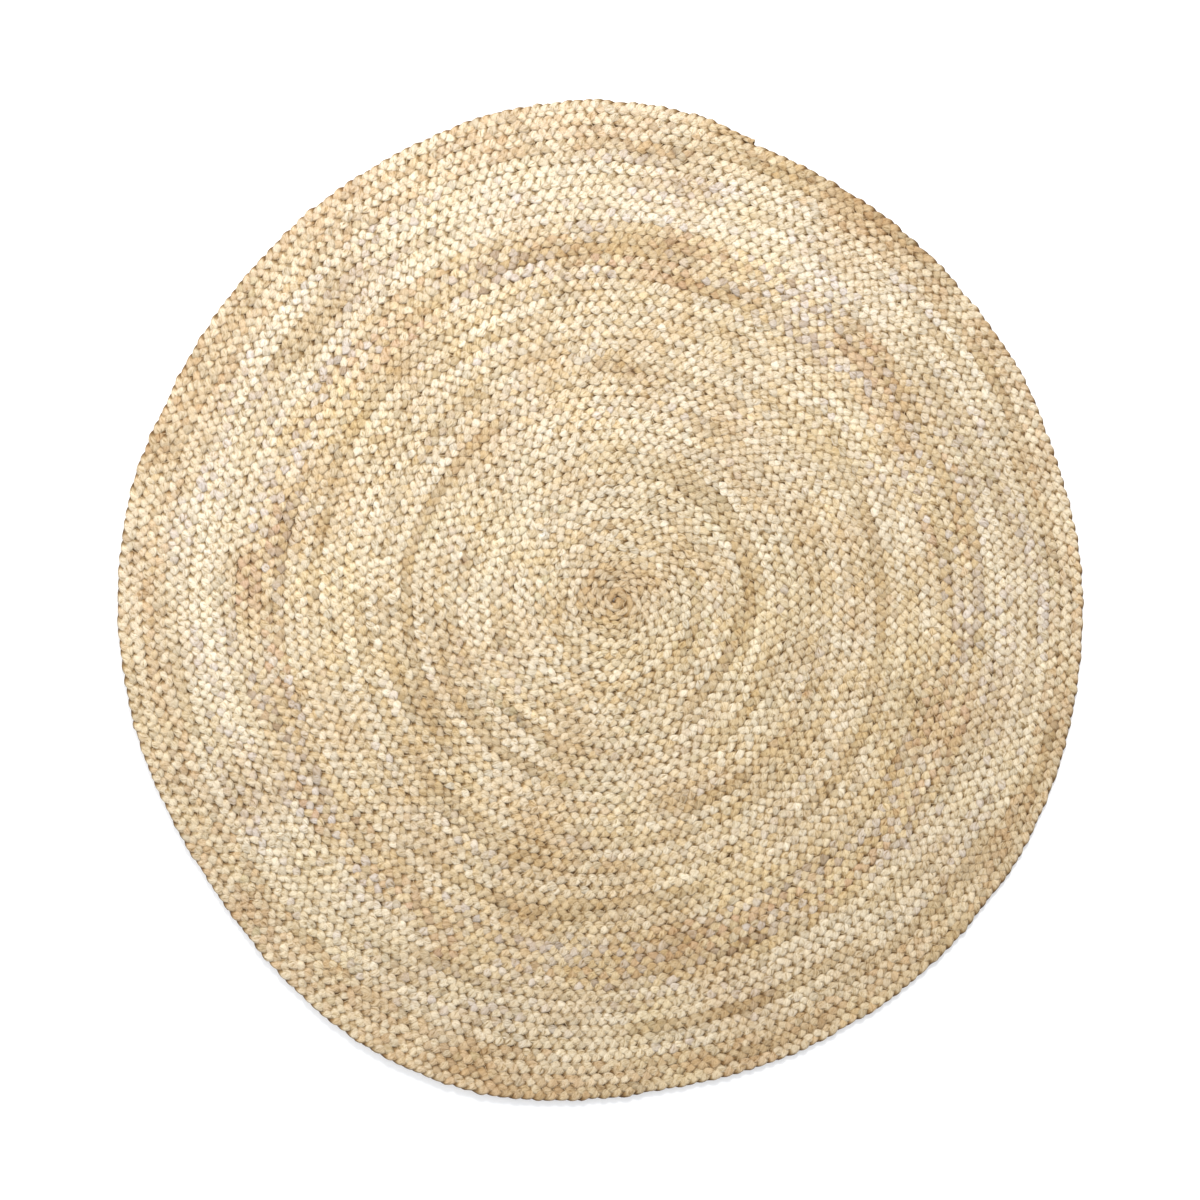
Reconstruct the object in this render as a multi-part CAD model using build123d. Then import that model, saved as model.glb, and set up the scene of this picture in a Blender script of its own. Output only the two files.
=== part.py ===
"""Round braided jute rug: one flat three-strand braid, coiled from an eye and sewn edge to edge.

Frame: +Z up, the underside on Z = 0, the origin under the middle of the rug's outline. The coil's eye
lies a little to +X of the origin, because the turns on the -X side are sewn more loosely.
Place along the braid is counted in turns from the eye, and the coil runs outwards clockwise seen from +Z.
Each strand weaves over and under the other two in life. Here it is the plain third of the braid's width
that it fills on average, so that the three strands lie side by side.
"""
from build123d import *
from math import cos, exp, floor, pi, radians, sin, tau
import os

# Driving dimensions, in millimetres and degrees.
rug_radius = 500.0          # mean radius of the outline
row_pitch = 11.8            # one turn of the coil to the next, away from the eye
thickness = 8.0             # the braid, flattened by sewing
centre_squeeze = 17.6       # radius lost because the first turns are pulled tight
squeeze_turns = 8.0         # turns over which that tightness fades
eye_squeeze = 9.0           # further radius lost where the braid starts thin
eye_turns = 2.0             # turns over which it comes to its full width
first_turn = 0.08           # where the braid's inner end lies, in turns
end_angle = 73.4            # where the braid's outer end lies, anticlockwise from +X
strand_gap = 0.15           # clearance between two strands of the braid
thread_width = 1.4          # what a row of zigzag stitches takes up between the rows
thread_clearance = 0.3      # room between the stitches and the row on each side of them
thread_depth = 1.0          # how far the seam's stitches lie below the top and the underside
thread_gap = 0.2            # clearance between needle thread and bobbin thread
whipping_wall = 0.35        # whipping thread bound round each end of the braid
whipping_gap = 0.05         # clearance between a whipping and the strands in it
whipping_length = 6.0       # length of braid that each whipping covers
tail_length = 70.0          # stretch over which the outer end of the braid narrows
tail_narrowing = 0.55       # share of its width that the braid has lost at its outer end
splice_gap = 0.3            # clearance where one length of a strand meets the next

# Each strand is spliced from lengths of jute of different shades. A length ends at this share of the turns.
length_ends = (0.22, 0.43, 0.68, 0.785, 0.92, 1.0)

# Where the outline stands out from a circle round the eye: angle, height and half-width of each lobe.
lobes = ((98.0, 12.3, 14.0), (248.0, 17.5, 15.0), (20.0, -11.3, 32.0), (150.0, -6.2, 10.0), (210.0, -5.1, 10.0))
eye_shift = 9.3             # the -X side's turns add up to this much more than the mean, the +X side's to less
eye_shift_angle = 190.0     # the direction in which they are loosest

arcs_per_turn = 12          # all bands have their arcs' ends at the same angles, so that they never cross
tail_arcs = 8               # further arcs along the narrowing tail
strand_names = ("a", "b", "c")

# Worked out from the above.
seam_gap = thread_width + 2 * thread_clearance
turns = (rug_radius + centre_squeeze + eye_squeeze) / row_pitch + 0.5
strand_width = (row_pitch - seam_gap - 2 * strand_gap) / len(strand_names)
end_turn = turns - 1.0


def even_radius(row):
    """Distance from the eye of the line that is this many rows out, if the rug were an even round."""
    tight = centre_squeeze * (1 - exp(-row / squeeze_turns))
    thin = eye_squeeze * (1 - exp(-row / eye_turns))
    return row_pitch * row - tight - thin


def standing_out(angle):
    """How far the outline at this angle, in degrees, stands out from an even round."""
    total = eye_shift * cos(radians(angle - eye_shift_angle))
    for middle, height, half_width in lobes:
        away = (angle - middle + 180) % 360 - 180
        total += height * exp(-((away / half_width) ** 2) / 2)
    return total


def turn_angle(turn):
    """Angle in degrees at which this turn of the clockwise coil lies."""
    return end_angle + 360 * (end_turn - turn)


def row_point(turn, across):
    """Point this far out from the seam on the braid's inner side, in millimetres of a full row."""
    angle = turn_angle(turn)
    even = even_radius(turn + across / row_pitch)
    distance = even + standing_out(angle) * (even / rug_radius) ** 2
    return (distance * cos(radians(angle)), distance * sin(radians(angle)))


def row_share(turn):
    """Width of this row as a share of a full row's."""
    return (even_radius(turn + 1) - even_radius(turn)) / row_pitch


def turns_along(length, turn):
    """Turns that a length of braid takes up near this turn."""
    return length / (tau * even_radius(turn + 0.5))


tail_start = end_turn - turns_along(tail_length, end_turn)


def tail_share(turn):
    """Share of the full width that the braid still has at this turn."""
    along = max(0.0, (turn - tail_start) / (end_turn - tail_start))
    return 1 - tail_narrowing * along * along * (3 - 2 * along)


def narrowed(across, turn):
    """The same place across the braid, moved in where its tail narrows."""
    return seam_gap / 2 + (across - seam_gap / 2) * tail_share(turn)


def nearest_station(turn):
    """The even division of a turn that lies nearest."""
    return round(turn * arcs_per_turn) / arcs_per_turn


def stations(start, end):
    """Turns at which a band's arcs meet: its two ends, each turn's even divisions, and those of the tail."""
    least = 0.02 / arcs_per_turn
    even = [k / arcs_per_turn for k in range(floor(start * arcs_per_turn) + 1, floor(end * arcs_per_turn) + 1)]
    tail = [tail_start + (end_turn - tail_start) * k / tail_arcs for k in range(tail_arcs)]
    even = [t for t in even if t < tail_start - least]
    return [start] + [t for t in even + tail if start + least < t < end - least] + [end]


def edge_arcs(places, across, aside):
    """Arcs along the line that lies this far across the braid and then this far aside from it."""
    arcs = []
    for here, there in zip(places, places[1:]):
        spots = (here, (here + there) / 2, there)
        points = [row_point(t, narrowed(across, t) + aside / row_share(t)) for t in spots]
        arcs.append(Edge.make_three_point_arc(*points))
    return arcs


def band(start, end, inner, outer, low, high, wider=0.0):
    """Closed spiral solid between two turns, two distances across the braid, each side wider, and two heights."""
    places = stations(start, end)
    inside = edge_arcs(places, inner, -wider)
    outside = edge_arcs(places, outer, wider)
    first = Edge.make_line(inside[0] @ 0, outside[0] @ 0)
    last = Edge.make_line(outside[-1] @ 1, inside[-1] @ 1)
    face = Face(Wire(inside + [last] + outside + [first]))
    return Pos(0, 0, low) * extrude(face, high - low, dir=(0, 0, 1))


def whipping(start, end):
    """Thread bound round the whole braid between two turns: a closed ring with the strands inside it."""
    place = (start, end, seam_gap / 2, row_pitch - seam_gap / 2)
    ring = band(*place, 0, thickness, wider=whipping_gap + whipping_wall)
    return ring - band(*place, whipping_wall, thickness - whipping_wall, wider=whipping_gap)


def neck_cutter(start, end):
    """What the strands give way to inside a whipping: the layers above and below the necked braid."""
    margin = turns_along(whipping_gap, start)
    layer = whipping_wall + whipping_gap
    places = (start - margin, end + margin, 0, row_pitch)
    return [band(*places, 0, layer), band(*places, thickness - layer, thickness)]


def strand_lengths():
    """Each strand as its separate lengths, laid end to end along the coil."""
    inner_end = whipping_places()["start_whipping"]
    outer_end = whipping_places()["end_whipping"]
    parts = {}
    for index, strand in enumerate(strand_names):
        near = seam_gap / 2 + index * (strand_width + strand_gap)
        start = first_turn
        for number, share in enumerate(length_ends, start=1):
            last = number == len(length_ends)
            splice = nearest_station(first_turn + share * (end_turn - first_turn))
            end = end_turn if last else splice + index / arcs_per_turn
            solid = band(start, end, near, near + strand_width, 0, thickness)
            if number == 1:
                solid = solid - neck_cutter(*inner_end)
            if last:
                solid = solid - neck_cutter(*outer_end)
            parts[f"strand_{strand}_length_{number}"] = solid
            start = end + turns_along(splice_gap, end)
    return parts


def whipping_places():
    """Start and end, in turns, of the whipping at each end of the braid."""
    margin = 1.0
    inner = first_turn + turns_along(margin, first_turn)
    outer = end_turn - turns_along(margin, end_turn)
    return {
        "start_whipping": (inner, inner + turns_along(whipping_length, first_turn)),
        "end_whipping": (outer - turns_along(whipping_length, end_turn), outer),
    }


def seam_threads():
    """Needle thread above and bobbin thread below, along the whole seam between neighbouring rows."""
    start = nearest_station(whipping_places()["start_whipping"][1] + 0.5 / arcs_per_turn)
    end = nearest_station(whipping_places()["end_whipping"][0] - 0.5 / arcs_per_turn) - 1.0
    near = row_pitch - thread_width / 2
    middle = thickness / 2
    needle = band(start, end, near, near + thread_width, middle + thread_gap / 2, thickness - thread_depth)
    bobbin = band(start, end, near, near + thread_width, thread_depth, middle - thread_gap / 2)
    return {"needle_thread": needle, "bobbin_thread": bobbin}


def rug():
    """Every piece by name, moved so that the middle of the outline is over the origin."""
    parts = strand_lengths() | seam_threads()
    for name, place in whipping_places().items():
        parts[name] = whipping(*place)
    box = Compound(list(parts.values())).bounding_box()
    middle = (box.min + box.max) / 2
    return {name: Pos(-middle.X, -middle.Y, 0) * solid for name, solid in parts.items()}


os.makedirs("parts", exist_ok=True)
for node, solid in rug().items():
    export_step(solid, f"parts/{node}.step")
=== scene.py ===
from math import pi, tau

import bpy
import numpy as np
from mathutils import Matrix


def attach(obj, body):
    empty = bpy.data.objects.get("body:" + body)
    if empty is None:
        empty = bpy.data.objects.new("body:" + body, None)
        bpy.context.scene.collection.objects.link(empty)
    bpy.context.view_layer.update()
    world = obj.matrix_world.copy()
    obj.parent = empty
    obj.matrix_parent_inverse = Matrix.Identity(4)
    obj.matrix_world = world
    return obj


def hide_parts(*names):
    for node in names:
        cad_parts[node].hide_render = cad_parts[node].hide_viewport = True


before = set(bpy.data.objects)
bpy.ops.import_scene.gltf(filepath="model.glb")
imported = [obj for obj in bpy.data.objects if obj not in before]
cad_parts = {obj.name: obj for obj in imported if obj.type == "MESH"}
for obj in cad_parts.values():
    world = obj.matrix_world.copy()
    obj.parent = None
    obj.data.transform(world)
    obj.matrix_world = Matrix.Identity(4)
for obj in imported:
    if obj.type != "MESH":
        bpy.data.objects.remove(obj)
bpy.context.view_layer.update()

# Round braided jute rug: three jute strands in one flat braid, coiled from an eye and sewn edge to edge.
# The braid is worked out in millimetres about the eye, as the CAD is, and then moved to the frame's origin.
# A place along the braid is counted in turns from the eye, and the coil runs outwards clockwise seen from +Z.

MM = 0.001

# The coil, in millimetres, degrees and turns, with the same values as the CAD.
RUG_RADIUS = 500.0      # mean radius of the outline
ROW_PITCH = 11.8        # one turn of the coil to the next, away from the eye
CENTRE_SQUEEZE = 17.6   # radius lost because the first turns are pulled tight
SQUEEZE_TURNS = 8.0     # turns over which that tightness fades
EYE_SQUEEZE = 9.0       # further radius lost where the braid starts thin
EYE_TURNS = 2.0         # turns over which it comes to its full width
FIRST_TURN = 0.08       # where the braid's inner end lies
END_ANGLE = 73.4        # where its outer end lies, anticlockwise from +X
SEAM_GAP = 2.0          # between one row's braid and the next
TAIL_LENGTH = 70.0      # stretch over which the outer end narrows
TAIL_NARROWING = 0.55   # share of its width that it has lost at the end
EYE_SHIFT = 9.3         # how much looser than the mean the turns are in their loosest direction
EYE_SHIFT_ANGLE = 190.0
# Where the outline stands out from a circle round the eye: angle, height and half-width of each lobe.
LOBES = (
    (98.0, 12.3, 14.0),
    (248.0, 17.5, 15.0),
    (20.0, -11.3, 32.0),
    (150.0, -6.2, 10.0),
    (210.0, -5.1, 10.0),
)
# Each lot of jute but the last ends at this share of the turns.
LENGTH_ENDS = (0.22, 0.43, 0.68, 0.785, 0.92)
END_TURN = (RUG_RADIUS + CENTRE_SQUEEZE + EYE_SQUEEZE) / ROW_PITCH - 0.5

# The braid, in millimetres.
PLAIT_PITCH = 34.0      # braid length in which a strand comes back to the same place
EYE_PLAIT_LOST = 90.0   # braid length by which the plait falls behind, because it starts loosely in the eye
EYE_PLAIT_RUN = 160.0   # braid length over which that fades
TUCK = 7.5              # how far the braid's inner end is pulled in to fill the eye
TUCK_RUN = 10.0         # braid length over which that fades
EYE_PLUMP = 0.7         # how much thicker the strands start, as a share
EYE_PLUMP_RUN = 24.0    # braid length over which that fades
WEAVE = 3.3             # how far a strand swings to each side of the braid's middle
RISE = 1.2              # how far it rises and falls as it passes over and under
HALF_WIDTH = 4.5        # of a strand, in the braid's plane
HALF_HEIGHT = 2.45      # of a strand, across it
MID_HEIGHT = 4.0        # of the braid's middle above the floor
CORNER_POWER = 0.55     # how square a strand's section is: 1 is an ellipse, and less is squarer
TWIST_PITCH = 0.048     # strand length, in metres, in which its fibres wind round it once

# Seam stitches and end bindings, in millimetres.
HALF_STITCH = 5.5       # along the seam, from one side of it to the other
STITCH_REACH = 3.0      # how far a stitch bites into the rows on each side
ZIGZAG = (0, 0.86, 0.86, 0, -0.86, -0.86)   # the thread's place across the seam, as a share of that
THREAD_RADIUS = 0.28
NEEDLE_HEIGHT = 6.0     # of the upper stitches over the seam
BOBBIN_HEIGHT = 2.0     # of the lower ones
TWINE_RADIUS = 0.45
BINDING_START = 1.0     # from each end of the braid to its binding
BINDING_END = 7.0       # and to the binding's far side
BINDING_TURNS = 7

RINGS_PER_PITCH = 16    # of a strand's mesh
SIDES = 10              # of each ring


# ---------------------------------------------------------------- the coil

def even_radius(row):
    """Distance from the eye of the line this many rows out, if the rug were an even round."""
    tight = CENTRE_SQUEEZE * (1 - np.exp(-row / SQUEEZE_TURNS))
    return ROW_PITCH * row - tight - EYE_SQUEEZE * (1 - np.exp(-row / EYE_TURNS))


def standing_out(angle):
    """How far the outline at this angle, in degrees, stands out from an even round."""
    total = EYE_SHIFT * np.cos(np.radians(angle - EYE_SHIFT_ANGLE))
    for middle, height, half_width in LOBES:
        away = (angle - middle + 180) % 360 - 180
        total = total + height * np.exp(-((away / half_width) ** 2) / 2)
    return total


def row_point(turn, across):
    """x and y about the eye, this far across the row from the seam on its inner side."""
    angle = END_ANGLE + 360 * (END_TURN - turn)
    even = even_radius(turn + across / ROW_PITCH)
    distance = even + standing_out(angle) * (even / RUG_RADIUS) ** 2
    return distance * np.cos(np.radians(angle)), distance * np.sin(np.radians(angle))


def turns_along(length, turn):
    """Turns that a length of braid takes up near this turn."""
    return length / (tau * even_radius(turn + 0.5))


TAIL_START = END_TURN - turns_along(TAIL_LENGTH, END_TURN)


def tail_share(turn):
    """Share of the full width that the braid still has at this turn."""
    along = np.clip((turn - TAIL_START) / (END_TURN - TAIL_START), 0, 1)
    return 1 - TAIL_NARROWING * along * along * (3 - 2 * along)


def narrowed(across, turn):
    """The same place across the braid, moved in where its tail narrows."""
    return SEAM_GAP / 2 + (across - SEAM_GAP / 2) * tail_share(turn)


def outline_middle():
    """The middle of the outline's box, about the eye."""
    turn = np.linspace(END_TURN - 1.05, END_TURN, 6000)
    x, y = row_point(turn, narrowed(ROW_PITCH - SEAM_GAP / 2, turn))
    return (x.min() + x.max()) / 2, (y.min() + y.max()) / 2


MIDDLE_X, MIDDLE_Y = outline_middle()


# ---------------------------------------------------------------- noise made of seeded random numbers

def smooth_noise(x, step, seed):
    """Between -1 and 1, and smooth, with a new random value at each step along x."""
    place = (x - x.min()) / step
    values = np.random.default_rng(seed).uniform(-1, 1, int(place.max()) + 3)
    index = place.astype(int)
    part = place - index
    part = part * part * (3 - 2 * part)
    return values[index] * (1 - part) + values[index + 1] * part


WAVES = np.random.default_rng(11).uniform(0, 1, (14, 4))
SHORTEST_WAVE, WAVE_RANGE = 45, 150     # millimetres
WAVE_STEEPNESS = 0.0021                 # a wave's height as a share of its length


def wander(x, y):
    """How far the rows stray in the rug's plane, as a smooth field that carries every piece alike."""
    dx, dy = np.zeros_like(x), np.zeros_like(x)
    for length_share, direction, phase, other in WAVES:
        length = SHORTEST_WAVE + WAVE_RANGE * length_share
        kx, ky = tau / length * np.cos(tau * direction), tau / length * np.sin(tau * direction)
        size = WAVE_STEEPNESS * length
        dx += size * np.sin(kx * x + ky * y + tau * phase)
        dy += size * np.sin(kx * x + ky * y + tau * other)
    return dx, dy


CURLS = ((247, 17, 2.6), (60, 20, 1.2))     # angle, half-width in degrees, and height in millimetres
CURL_FROM, CURL_OVER = 440, 75              # millimetres from the middle, and from there to the full height


def lift(x, y):
    """How far the rim stands off the floor: flat but for a curl at the lower left and a smaller one."""
    angle = np.degrees(np.arctan2(y, x)) % 360
    edge = np.clip((np.hypot(x, y) - CURL_FROM) / CURL_OVER, 0, 1) ** 2
    return edge * sum(height * np.exp(-(((angle - at) / half) ** 2) / 2) for at, half, height in CURLS)


# ---------------------------------------------------------------- the braid's middle line

TURNS = np.linspace(FIRST_TURN, END_TURN, 24000)
LINE_X, LINE_Y = row_point(TURNS, narrowed(ROW_PITCH / 2, TURNS))
LENGTHS = np.concatenate([[0], np.cumsum(np.hypot(np.diff(LINE_X), np.diff(LINE_Y)))])
BRAID_LENGTH = LENGTHS[-1]


def turn_at(along):
    """The turn at this length of braid from its inner end."""
    return np.interp(along, LENGTHS, TURNS)


def placed(turn, aside, height):
    """Points at this turn, this far aside from the braid's middle and this high, in the frame's metres."""
    x, y = row_point(turn, narrowed(ROW_PITCH / 2 + aside, turn))
    dx, dy = wander(x, y)
    x, y = x + dx - MIDDLE_X, y + dy - MIDDLE_Y
    return np.stack([x, y, height + lift(x, y)], axis=1) * MM


def tucked(along):
    """How far the braid's start is pulled in, in millimetres of a full row, so that it fills the eye."""
    return -TUCK * np.exp(-along / TUCK_RUN)


def local_width(turn):
    """How wide the row is here, as a share of a full row."""
    ax, ay = row_point(turn, ROW_PITCH / 2 - 1)
    bx, by = row_point(turn, ROW_PITCH / 2 + 1)
    return np.hypot(bx - ax, by - ay) / 2 * tail_share(turn)


# ---------------------------------------------------------------- meshes

def unit(v):
    """The same directions, one metre long."""
    return v / np.linalg.norm(v, axis=1)[:, None]


def squared(share, power):
    """A sine or cosine pushed towards 1 and -1, which turns a circle into a rounded square."""
    return np.sign(share) * np.abs(share) ** power


def tube(name, line, half_width, half_height, sides, twist=0.0, lumps=0.0, seed=0, box=1.0):
    """A closed tube along the line, flat across its own path, with the values that its material reads."""
    n = len(line)
    tangent = unit(np.gradient(line, axis=0))
    side = unit(np.cross(np.array([0, 0, 1.0]), tangent))
    up = np.cross(tangent, side)
    along = np.concatenate([[0], np.cumsum(np.linalg.norm(np.diff(line, axis=0), axis=1))])
    around = np.arange(sides) / sides * tau
    wide = np.broadcast_to(half_width, n)[:, None] * np.ones(sides)
    high = np.broadcast_to(half_height, n)[:, None] * np.ones(sides)
    if lumps:
        grow = np.zeros((n, sides))
        draw = np.random.default_rng(seed)
        for _ in range(7):
            length, turns_round, phase = draw.uniform(0.005, 0.022), draw.integers(0, 4), draw.uniform(0, tau)
            grow += np.sin(tau * along[:, None] / length + turns_round * around[None, :] + phase)
        grow = 1 + lumps * grow / 7 ** 0.5
        wide, high = wide * grow, high * grow
    points = (
        line[:, None, :]
        + side[:, None, :] * (wide * squared(np.cos(around), box))[:, :, None]
        + up[:, None, :] * (high * squared(np.sin(around), box))[:, :, None]
    )
    ends = np.stack([line[0] - tangent[0] * high[0, 0] * 0.5, line[-1] + tangent[-1] * high[-1, 0] * 0.5])
    points = np.concatenate([points.reshape(-1, 3), ends])

    ring = np.arange(n - 1)[:, None] * sides
    here, there = np.arange(sides)[None, :], (np.arange(sides) + 1)[None, :] % sides
    quads = np.stack([ring + here, ring + there, ring + sides + there, ring + sides + here], axis=2)
    quads = quads.reshape(-1, 4)
    j, k = np.arange(sides), (np.arange(sides) + 1) % sides
    last = (n - 1) * sides
    first_cap = np.stack([k, j, np.full(sides, n * sides)], axis=1)
    last_cap = np.stack([last + j, last + k, np.full(sides, n * sides + 1)], axis=1)

    mesh = bpy.data.meshes.new(name)
    corners = np.concatenate([quads.ravel(), first_cap.ravel(), last_cap.ravel()])
    starts = np.concatenate([np.arange(len(quads)) * 4, len(quads) * 4 + np.arange(2 * sides) * 3])
    mesh.vertices.add(len(points))
    mesh.vertices.foreach_set("co", points.ravel())
    mesh.loops.add(len(corners))
    mesh.loops.foreach_set("vertex_index", corners.astype(np.int32))
    mesh.polygons.add(len(starts))
    mesh.polygons.foreach_set("loop_start", starts.astype(np.int32))
    mesh.polygons.foreach_set("use_smooth", np.ones(len(starts), bool))
    unroll(mesh, along, n, sides, float(np.mean(wide) + np.mean(high)) * pi, len(quads))
    turned = around[None, :] + twist * along[:, None]
    fibre = np.stack(
        [np.repeat(along, sides), (wide * np.cos(turned)).ravel(), (high * np.sin(turned)).ravel()], axis=1
    )
    fibre = np.concatenate([fibre, fibre[[0]], fibre[[-1]]])
    put(mesh, "fibre", "FLOAT_VECTOR", "vector", fibre)
    mesh.update(calc_edges=True)
    made = bpy.data.objects.new(name, mesh)
    bpy.context.scene.collection.objects.link(made)
    return made, along


def unroll(mesh, along, n, sides, girth, quads):
    """The tube's surface laid out as parallel strips that fill a square."""
    total = along[-1] * girth
    strip = total ** 0.5
    strips = int(np.ceil(along[-1] / strip))
    middle = (along[:-1] + along[1:]) / 2
    row = np.minimum((middle / strip).astype(int), strips - 1)
    u0, u1 = (along[:-1] - row * strip) / strip, (along[1:] - row * strip) / strip
    margin = 0.06
    low = (np.arange(sides) / sides) * (1 - 2 * margin) + margin
    high = ((np.arange(sides) + 1) / sides) * (1 - 2 * margin) + margin
    flat = np.zeros((n - 1, sides, 4, 2))
    for corner, (u, v) in enumerate(((u0, low), (u0, high), (u1, high), (u1, low))):
        flat[:, :, corner, 0] = np.clip(u, 0, 1)[:, None] * 0.996 + 0.002
        flat[:, :, corner, 1] = (row[:, None] + v[None, :]) / strips
    caps = np.zeros((2 * sides * 3, 2))
    caps[:sides * 3] = flat[0, 0, 0]
    caps[sides * 3:] = flat[-1, 0, 3]
    layer = mesh.uv_layers.new(name="OFBake")
    layer.data.foreach_set("uv", np.concatenate([flat.reshape(-1, 2), caps]).ravel())


def put(mesh, name, kind, field, values):
    """Store one value for each vertex, for the material to read."""
    layer = mesh.attributes.new(name, kind, "POINT")
    layer.data.foreach_set(field, np.asarray(values, np.float32).ravel())


def phase_at(along):
    """How far the plait has come at this length of braid, in turns of its pattern. It is never quite even.

    In the eye it is plaited loosely, with strands that run almost along the braid.
    """
    lost = EYE_PLAIT_LOST * (1 - np.exp(-along / EYE_PLAIT_RUN))
    uneven = 0.30 * smooth_noise(along, 260, 3) + 0.09 * smooth_noise(along, 27, 4)
    return (along - lost) / PLAIT_PITCH + uneven


def strand(index, name):
    """One whole strand of the braid, weaving over and under the other two from the eye to the outer end."""
    along = np.linspace(0, BRAID_LENGTH, int(BRAID_LENGTH / PLAIT_PITCH * RINGS_PER_PITCH))
    turn = turn_at(along)
    phase = tau * (phase_at(along) + index / 3)
    width = local_width(turn)
    ends = np.minimum(1, np.minimum(along, BRAID_LENGTH - along) / 6)
    neck = 1 - 0.16 * np.clip(2.2 - np.minimum(along, BRAID_LENGTH - along) / 4, 0, 1)
    swing = WEAVE * (1 + 0.13 * smooth_noise(along, 15, 20 + index)) * np.sin(phase)
    swing = swing + 0.35 * smooth_noise(along, 9, 25 + index) + tucked(along)
    rise = RISE * (1 + 0.15 * smooth_noise(along, 13, 30 + index)) * np.sin(2 * phase)
    line = placed(turn, swing, MID_HEIGHT + neck * (rise + 0.12 * smooth_noise(along, 8, 35 + index)))
    plump = 1 + 0.15 * smooth_noise(along, 8, 40 + index) + 0.06 * smooth_noise(along, 90, 50 + index)
    plump = plump * (0.70 + 0.30 * ends) * (1 + EYE_PLUMP * np.exp(-along / EYE_PLUMP_RUN))
    made, path = tube(
        name, line, HALF_WIDTH * width * plump * MM, HALF_HEIGHT * neck * (0.6 + 0.4 * plump) * MM, SIDES,
        twist=tau / TWIST_PITCH, lumps=0.08, seed=60 + index, box=CORNER_POWER,
    )
    mesh = made.data
    cell = phase / pi + 0.25 + 7001.0 * index
    put(mesh, "cell", "FLOAT", "value", closed(np.repeat(cell, SIDES)))
    put(mesh, "braid", "FLOAT", "value", closed(np.repeat(along * MM, SIDES)))
    put(mesh, "stain", "FLOAT_COLOR", "color", stained(coordinates(mesh) / MM))
    # How far each vertex stands from the braid's middle, which the material turns into painted shade on the
    # strands' flanks and in the creases between cells.
    lifted = np.append(np.repeat(lift(*(line[:, :2].T / MM)), SIDES), [0, 0])
    height = coordinates(mesh)[:, 2] / MM - lifted
    put(mesh, "height", "FLOAT", "value", np.clip(np.abs(height - MID_HEIGHT) / MID_HEIGHT, 0, 1))
    lot = np.zeros(len(mesh.polygons), np.int32)
    lot_ends = [FIRST_TURN + share * (END_TURN - FIRST_TURN) for share in LENGTH_ENDS]
    ring_lot = np.searchsorted(lot_ends, turn[:-1])
    lot[:len(ring_lot) * SIDES] = np.repeat(ring_lot, SIDES)
    lot[-SIDES:] = ring_lot[-1]
    for material in JUTE:
        mesh.materials.append(material)
    mesh.polygons.foreach_set("material_index", lot)
    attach(made, "root")
    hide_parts(*[f"{name}_length_{number}" for number in range(1, 7)])
    return made


# Single cells that stand out: place in the frame, radius, and what their colour is multiplied by.
STAINS = (
    ((-58, 69), 4.5, (1.25, 1.40, 1.70)),
    ((-84, -122), 4.5, (0.50, 0.52, 0.60)),
    ((-78, -130), 4.0, (0.72, 0.72, 0.76)),
    ((32, 235), 5.0, (0.58, 0.50, 0.46)),
    ((52, 459), 5.0, (0.66, 0.62, 0.58)),
    ((76, 460), 5.0, (0.62, 0.58, 0.55)),
    ((94, 457), 4.5, (0.70, 0.64, 0.58)),
    ((-38, 331), 5.0, (0.76, 0.72, 0.72)),
    ((8, 334), 6.0, (0.70, 0.66, 0.64)),
    ((34, 331), 5.0, (0.74, 0.68, 0.64)),
    ((-228, 168), 4.0, (0.66, 0.60, 0.56)),
    ((-196, 150), 4.0, (0.60, 0.58, 0.58)),
    ((-140, 40), 4.5, (0.72, 0.62, 0.56)),
    ((212, -96), 5.0, (0.80, 0.66, 0.56)),
    ((118, 52), 4.5, (0.72, 0.64, 0.56)),
)


def stained(points):
    """What each vertex's colour is multiplied by, from the single cells that stand out."""
    colour = np.ones((len(points), 4))
    for (x, y), radius, factor in STAINS:
        near = np.exp(-(((points[:, 0] - x) ** 2 + (points[:, 1] - y) ** 2) / radius ** 2) ** 2)
        colour[:, :3] *= 1 + (np.array(factor) - 1) * near[:, None]
    return colour


def closed(values):
    """The rings' values, with those of the two end caps' middles after them."""
    return np.concatenate([values, values[[0]], values[[-1]]])


def coordinates(mesh):
    """All vertices of a mesh."""
    co = np.zeros(len(mesh.vertices) * 3, np.float32)
    mesh.vertices.foreach_get("co", co)
    return co.reshape(-1, 3)


# ---------------------------------------------------------------- materials

def linear(r, g, b):
    """A colour as seen, 0 to 255, as the linear colour that a shader takes."""
    share = np.array([r, g, b]) / 255
    return (*np.where(share <= 0.04045, share / 12.92, ((share + 0.055) / 1.055) ** 2.4), 1.0)


def add(tree, kind, inputs=(), **settings):
    """A shader node with its settings, and each input set to a value or joined to another node's output."""
    made = tree.nodes.new(kind)
    for key, value in settings.items():
        setattr(made, key, value)
    for key, value in dict(inputs).items():
        if isinstance(value, bpy.types.NodeSocket):
            tree.links.new(value, made.inputs[key])
        else:
            made.inputs[key].default_value = value
    return made


def ramp(tree, factor, stops):
    """A colour ramp with these places and colours."""
    made = add(tree, "ShaderNodeValToRGB", {"Fac": factor})
    elements = made.color_ramp.elements
    while len(elements) < len(stops):
        elements.new(0.5)
    for element, (place, colour) in zip(elements, stops):
        element.position = place
        element.color = colour
    return made.outputs["Color"]


def times(tree, one, two):
    """One colour multiplied by another."""
    made = add(tree, "ShaderNodeMix", data_type="RGBA", blend_type="MULTIPLY")
    made.inputs[0].default_value = 1.0
    tree.links.new(one, made.inputs[6])
    tree.links.new(two, made.inputs[7])
    return made.outputs[2]


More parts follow.
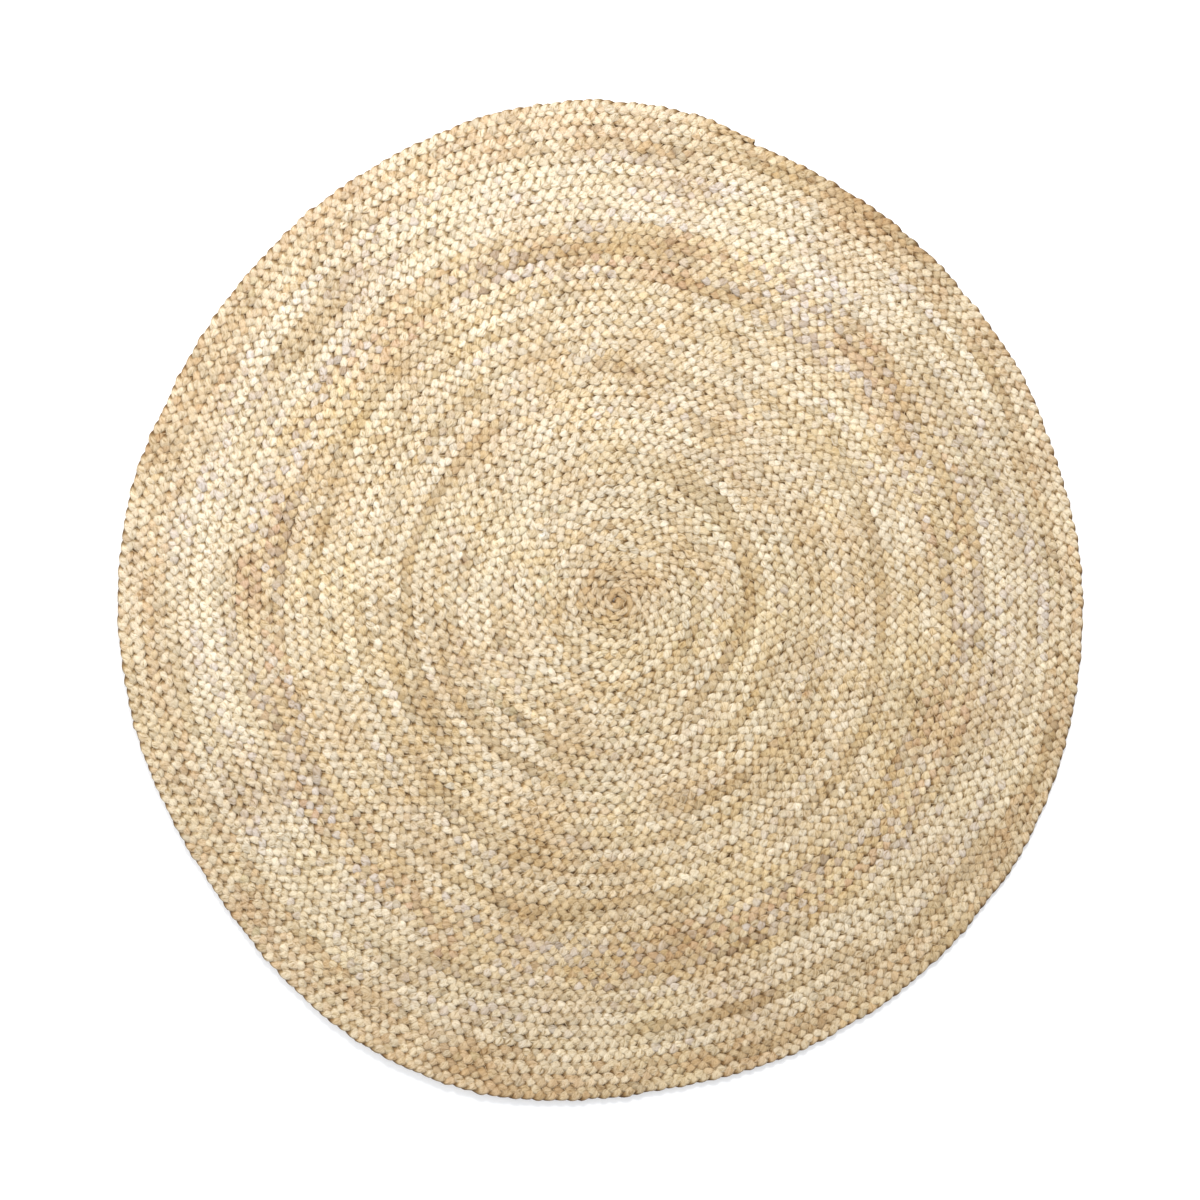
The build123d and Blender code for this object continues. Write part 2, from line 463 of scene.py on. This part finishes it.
def maths(tree, operation, *values):
    """A maths node's result for these values, numbers or sockets."""
    made = add(tree, "ShaderNodeMath", operation=operation)
    for socket, value in zip(made.inputs, values):
        if isinstance(value, bpy.types.NodeSocket):
            tree.links.new(value, socket)
        else:
            socket.default_value = value
    return made.outputs[0]


def grey(value):
    return (value, value, value, 1.0)


def tint(r, g, b):
    return (r, g, b, 1.0)


CREAM = linear(238, 227, 206)
PALE = linear(232, 217, 191)
GOLD = linear(227, 206, 169)
TAN = linear(217, 192, 159)
RUST = linear(214, 182, 157)
LAVENDER = linear(221, 210, 201)
OLIVE = linear(212, 203, 173)
BROWN = linear(176, 149, 117)

LOTS = (
    ((0.0, TAN), (0.30, GOLD), (0.45, PALE), (0.6, CREAM), (0.75, GOLD), (1.0, OLIVE)),
    ((0.0, OLIVE), (0.28, PALE), (0.42, CREAM), (0.56, PALE), (0.7, GOLD), (1.0, LAVENDER)),
    ((0.0, LAVENDER), (0.3, PALE), (0.45, GOLD), (0.55, CREAM), (0.72, PALE), (1.0, TAN)),
    ((0.0, RUST), (0.3, TAN), (0.42, GOLD), (0.55, PALE), (0.7, LAVENDER), (1.0, BROWN)),
    ((0.0, PALE), (0.3, CREAM), (0.45, PALE), (0.6, CREAM), (0.75, LAVENDER), (1.0, GOLD)),
    ((0.0, GOLD), (0.3, TAN), (0.45, PALE), (0.6, PALE), (0.75, TAN), (1.0, OLIVE)),
)


# What a lot's colour is multiplied by, at places from 0 to 1 along a noise or a value of the mesh.
STRETCH_TINTS = (
    (0.30, tint(0.78, 0.71, 0.59)),
    (0.45, tint(0.94, 0.92, 0.87)),
    (0.56, grey(1.0)),
    (0.72, tint(1.04, 1.04, 1.02)),
)
EYE_TINTS = ((0.0, tint(0.80, 0.72, 0.62)), (0.35, tint(0.88, 0.83, 0.76)), (0.9, grey(1.0)))
# Painted light falloff across the rug: darker towards the lower right.
FALLOFF_SHADE_TINTS = ((0.0, tint(0.93, 0.89, 0.81)), (0.5, tint(0.97, 0.96, 0.93)), (1.0, grey(1.0)))
PATCH_TINTS = ((0.32, linear(240, 231, 219)), (0.5, grey(0.98)), (0.7, linear(255, 253, 244)))
CELL_TINTS = ((0.0, grey(0.80)), (0.2, grey(0.95)), (0.8, grey(1.0)), (1.0, grey(1.04)))
FIBRE_TINTS = ((0.30, linear(208, 186, 152)), (0.46, grey(0.95)), (0.7, grey(1.06)))
# Plies vary in tone, and their troughs, low in the same noise that bumps them, are painted darker as shade.
PLY_TONE_AND_SHADE_TINTS = (
    (0.30, tint(0.40, 0.31, 0.19)),
    (0.42, tint(0.85, 0.80, 0.71)),
    (0.52, grey(1.0)),
    (0.68, grey(1.12)),
)
# Painted shade: strands darken towards their flanks, where they dip into the creases between cells.
CREASE_SHADE_TINTS = ((0.33, tint(0.24, 0.16, 0.08)), (0.56, tint(0.54, 0.45, 0.32)), (0.76, tint(0.98, 0.98, 1.0)))


def attribute(tree, name, output="Fac"):
    """A value that the mesh carries."""
    return add(tree, "ShaderNodeAttribute", attribute_name=name).outputs[output]


def noise(tree, inputs, dimensions="3D"):
    """Smooth noise round 0.5, with these inputs."""
    return add(tree, "ShaderNodeTexNoise", inputs, noise_dimensions=dimensions).outputs["Fac"]


def stretched(tree, vector, scale):
    """Coordinates scaled differently along and across the fibres."""
    return add(tree, "ShaderNodeVectorMath", {0: vector, 1: scale}, operation="MULTIPLY").outputs[0]


def jute(number):
    """Jute fibre of one lot: a tint that drifts along the strand, plies and fibres, and painted shade on the
    flanks.
    """
    made = bpy.data.materials.new(f"jute_lot_{number + 1}")
    made.use_nodes = True
    tree = made.node_tree
    shader = tree.nodes["Principled BSDF"]
    fibre = attribute(tree, "fibre", "Vector")
    cell = attribute(tree, "cell")
    height = attribute(tree, "height")
    place = add(tree, "ShaderNodeTexCoord").outputs["Object"]

    # The lot's own shades drift from cell to cell.
    drift = noise(tree, {"W": cell, "Scale": 0.13, "Detail": 1.5, "Roughness": 0.5}, "1D")
    drift = maths(tree, "ADD", maths(tree, "MULTIPLY", maths(tree, "SUBTRACT", drift, 0.5), 1.35), 0.5)
    colour = ramp(tree, drift, LOTS[number])

    # All three strands are darker together over stretches of braid, and in the eye.
    braid = attribute(tree, "braid")
    stretch = noise(tree, {"W": braid, "Scale": 2.6, "Detail": 3.0, "Roughness": 0.6}, "1D")
    colour = times(tree, colour, ramp(tree, stretch, STRETCH_TINTS))
    colour = times(tree, colour, ramp(tree, braid, EYE_TINTS))
    colour = times(tree, colour, attribute(tree, "stain", "Color"))

    # Painted light falloff: the lower right of the rug is painted a little darker, as the lamps' light falls
    # off across it, and there are patches all over.
    parts = add(tree, "ShaderNodeSeparateXYZ", {"Vector": place}).outputs
    light_falloff = maths(tree, "MULTIPLY_ADD", parts["Y"], 1.0, 0.5)
    light_falloff = maths(tree, "ADD", light_falloff, maths(tree, "MULTIPLY", parts["X"], -0.35))
    colour = times(tree, colour, ramp(tree, light_falloff, FALLOFF_SHADE_TINTS))
    patch = noise(tree, {"Vector": place, "Scale": 9.0, "Detail": 3.0, "Roughness": 0.6})
    colour = times(tree, colour, ramp(tree, patch, PATCH_TINTS))

    # Each cell of the braid has its own shade.
    each = add(tree, "ShaderNodeTexWhiteNoise", {"W": maths(tree, "FLOOR", cell)}, noise_dimensions="1D")
    colour = times(tree, colour, ramp(tree, each.outputs["Value"], CELL_TINTS))

    # Fine fibres, coarser plies with painted shade in their troughs, and painted shade in the creases between
    # cells.
    streaks = stretched(tree, fibre, (160.0, 2600.0, 2600.0))
    streaks = noise(tree, {"Vector": streaks, "Scale": 1.0, "Detail": 3.0, "Roughness": 0.65})
    colour = times(tree, colour, ramp(tree, streaks, FIBRE_TINTS))
    plies = stretched(tree, fibre, (150.0, 560.0, 560.0))
    plies = noise(tree, {"Vector": plies, "Scale": 1.0, "Detail": 3.0, "Roughness": 0.75})
    colour = times(tree, colour, ramp(tree, plies, PLY_TONE_AND_SHADE_TINTS))
    colour = times(tree, colour, ramp(tree, height, CREASE_SHADE_TINTS))

    tree.links.new(colour, shader.inputs["Base Color"])
    shader.inputs["Roughness"].default_value = 0.88
    shader.inputs["Specular IOR Level"].default_value = 0.25
    shader.inputs["Sheen Weight"].default_value = 0.12
    shader.inputs["Sheen Roughness"].default_value = 0.5
    coarse = add(tree, "ShaderNodeBump", {"Height": plies, "Strength": 0.8, "Distance": 0.0016})
    fine = {"Height": streaks, "Strength": 0.9, "Distance": 0.0008, "Normal": coarse.outputs["Normal"]}
    tree.links.new(add(tree, "ShaderNodeBump", fine).outputs["Normal"], shader.inputs["Normal"])
    return made


JUTE = [jute(number) for number in range(6)]
STRANDS = [strand(index, f"strand_{letter}") for index, letter in enumerate("abc")]


# ---------------------------------------------------------------- seam threads and whippings

def zigzag(name, height, dip, sign):
    """Sewing thread that swings to and fro over the seam between one row and the next."""
    turn = np.linspace(FIRST_TURN + 0.14, END_TURN - 1.02, 24000)
    x, y = row_point(turn, ROW_PITCH)
    length = np.concatenate([[0], np.cumsum(np.hypot(np.diff(x), np.diff(y)))])
    count = int(length[-1] / HALF_STITCH) * len(ZIGZAG) // 2
    along = np.linspace(0, length[-1], count)
    swing = np.array(ZIGZAG)[np.arange(count) % len(ZIGZAG)] * STITCH_REACH
    swing = swing * (1 + 0.2 * smooth_noise(along, 9, sign + 70))
    at = np.interp(along, length, turn)
    x, y = row_point(at, ROW_PITCH + swing)
    dx, dy = wander(x, y)
    x, y = x + dx - MIDDLE_X, y + dy - MIDDLE_Y
    z = height + sign * 0.25 * np.abs(swing) + dip * smooth_noise(along, 11, sign + 75)
    line = np.stack([x, y, z + lift(x, y)], axis=1) * MM
    made, _ = tube(name, line, THREAD_RADIUS * MM, THREAD_RADIUS * MM, 5)
    return made


def bound(name, near, far, turns):
    """Twine wound round the whole braid between two lengths of it."""
    round_it = np.linspace(0, turns, turns * 24)
    along = near + (far - near) * round_it / turns
    aside = 5.15 * squared(np.cos(tau * round_it), 0.7)
    height = MID_HEIGHT + 3.42 * squared(np.sin(tau * round_it), 0.7)
    line = placed(turn_at(along), aside + tucked(along), height)
    made, _ = tube(name, line, TWINE_RADIUS * MM, TWINE_RADIUS * MM, 8)
    return made


def spun(name, colour, dark, pitch):
    """Spun thread: plies that wind round it, with painted shade in the grooves between them, and a little
    colour from place to place.
    """
    made = bpy.data.materials.new(name)
    made.use_nodes = True
    tree = made.node_tree
    shader = tree.nodes["Principled BSDF"]
    parts = add(tree, "ShaderNodeSeparateXYZ", {"Vector": attribute(tree, "fibre", "Vector")}).outputs
    round_it = maths(tree, "ARCTAN2", parts["Z"], parts["Y"])
    wound = maths(tree, "MULTIPLY", parts["X"], tau / pitch)
    ply = maths(tree, "SINE", maths(tree, "ADD", wound, maths(tree, "MULTIPLY", round_it, 2.0)))
    patch = noise(tree, {"W": parts["X"], "Scale": 90.0, "Detail": 3.0}, "1D")
    base = ramp(tree, patch, ((0.3, dark), (0.65, colour)))
    # Painted shade: the grooves between the plies are darker and their crests a little lighter.
    groove = maths(tree, "MULTIPLY_ADD", ply, 0.5, 0.5)
    shade = ramp(tree, groove, ((0.0, linear(190, 172, 140)), (0.5, grey(0.96)), (1.0, grey(1.04))))
    tree.links.new(times(tree, base, shade), shader.inputs["Base Color"])
    shader.inputs["Roughness"].default_value = 0.8
    shader.inputs["Specular IOR Level"].default_value = 0.3
    bump = add(tree, "ShaderNodeBump", {"Height": ply, "Strength": 0.5, "Distance": 0.0001})
    tree.links.new(bump.outputs["Normal"], shader.inputs["Normal"])
    return made


def finished(made, node, material):
    """The piece with its material, in place of its CAD node."""
    made.data.materials.append(material)
    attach(made, "root")
    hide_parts(node)
    return made


THREAD = spun("sewing_thread", linear(226, 208, 176), linear(196, 172, 134), 0.0012)
TWINE = spun("whipping_twine", linear(214, 188, 148), linear(176, 144, 102), 0.0016)
SEAM = [
    finished(zigzag("needle_stitches", NEEDLE_HEIGHT, 0.2, 1), "needle_thread", THREAD),
    finished(zigzag("bobbin_stitches", BOBBIN_HEIGHT, 0.2, -1), "bobbin_thread", THREAD),
]
start_binding = bound("start_binding", BINDING_START, BINDING_END, BINDING_TURNS)
end_binding = bound("end_binding", BRAID_LENGTH - BINDING_END, BRAID_LENGTH - BINDING_START, BINDING_TURNS)
BINDINGS = [
    finished(start_binding, "start_whipping", TWINE),
    finished(end_binding, "end_whipping", TWINE),
]


# ---------------------------------------------------------------- floor, light and camera

FLOOR_REACH = 4.0           # metres
FLOOR_HEIGHT = -0.0004      # just under the lowest strand
FRAME_WIDTH = 1.236         # metres of floor across the picture
LENS, SENSOR = 70, 36       # millimetres

corners = [(x * FLOOR_REACH, y * FLOOR_REACH, FLOOR_HEIGHT) for x, y in ((-1, -1), (1, -1), (1, 1), (-1, 1))]
floor_mesh = bpy.data.meshes.new("floor")
floor_mesh.from_pydata(corners, [], [(0, 1, 2, 3)])
floor = bpy.data.objects.new("floor", floor_mesh)
bpy.context.scene.collection.objects.link(floor)
floor_material = bpy.data.materials.new("floor")
floor_material.use_nodes = True
floor_shader = floor_material.node_tree.nodes["Principled BSDF"]
floor_shader.inputs["Base Color"].default_value = grey(0.97)
floor_shader.inputs["Roughness"].default_value = 1.0
floor_mesh.materials.append(floor_material)

world = bpy.data.worlds.new("studio")
bpy.context.scene.world = world
world.use_nodes = True
sky = world.node_tree.nodes["Background"]
sky.inputs["Color"].default_value = tint(0.97, 0.99, 1.02)
sky.inputs["Strength"].default_value = 0.82


def area_light(name, place, size, power, shadow=True):
    """A round lamp that points at the middle of the rug."""
    data = bpy.data.lights.new(name, "AREA")
    data.use_shadow = shadow
    data.shape = "DISK"
    data.size = size
    data.energy = power
    made = bpy.data.objects.new(name, data)
    made.location = place
    direction = -made.location.normalized()
    made.rotation_euler = direction.to_track_quat("-Z", "Y").to_euler()
    bpy.context.scene.collection.objects.link(made)


area_light("key", (0.35, 1.9, 2.1), 0.9, 52)
area_light("fill", (-1.2, 0.9, 1.1), 0.8, 16, shadow=False)

camera_data = bpy.data.cameras.new("camera")
camera_data.lens = LENS
camera = bpy.data.objects.new("camera", camera_data)
camera.location = (0, 0, FRAME_WIDTH * LENS / SENSOR)
bpy.context.scene.collection.objects.link(camera)
bpy.context.scene.camera = camera
bpy.context.scene.view_settings.view_transform = "Standard"
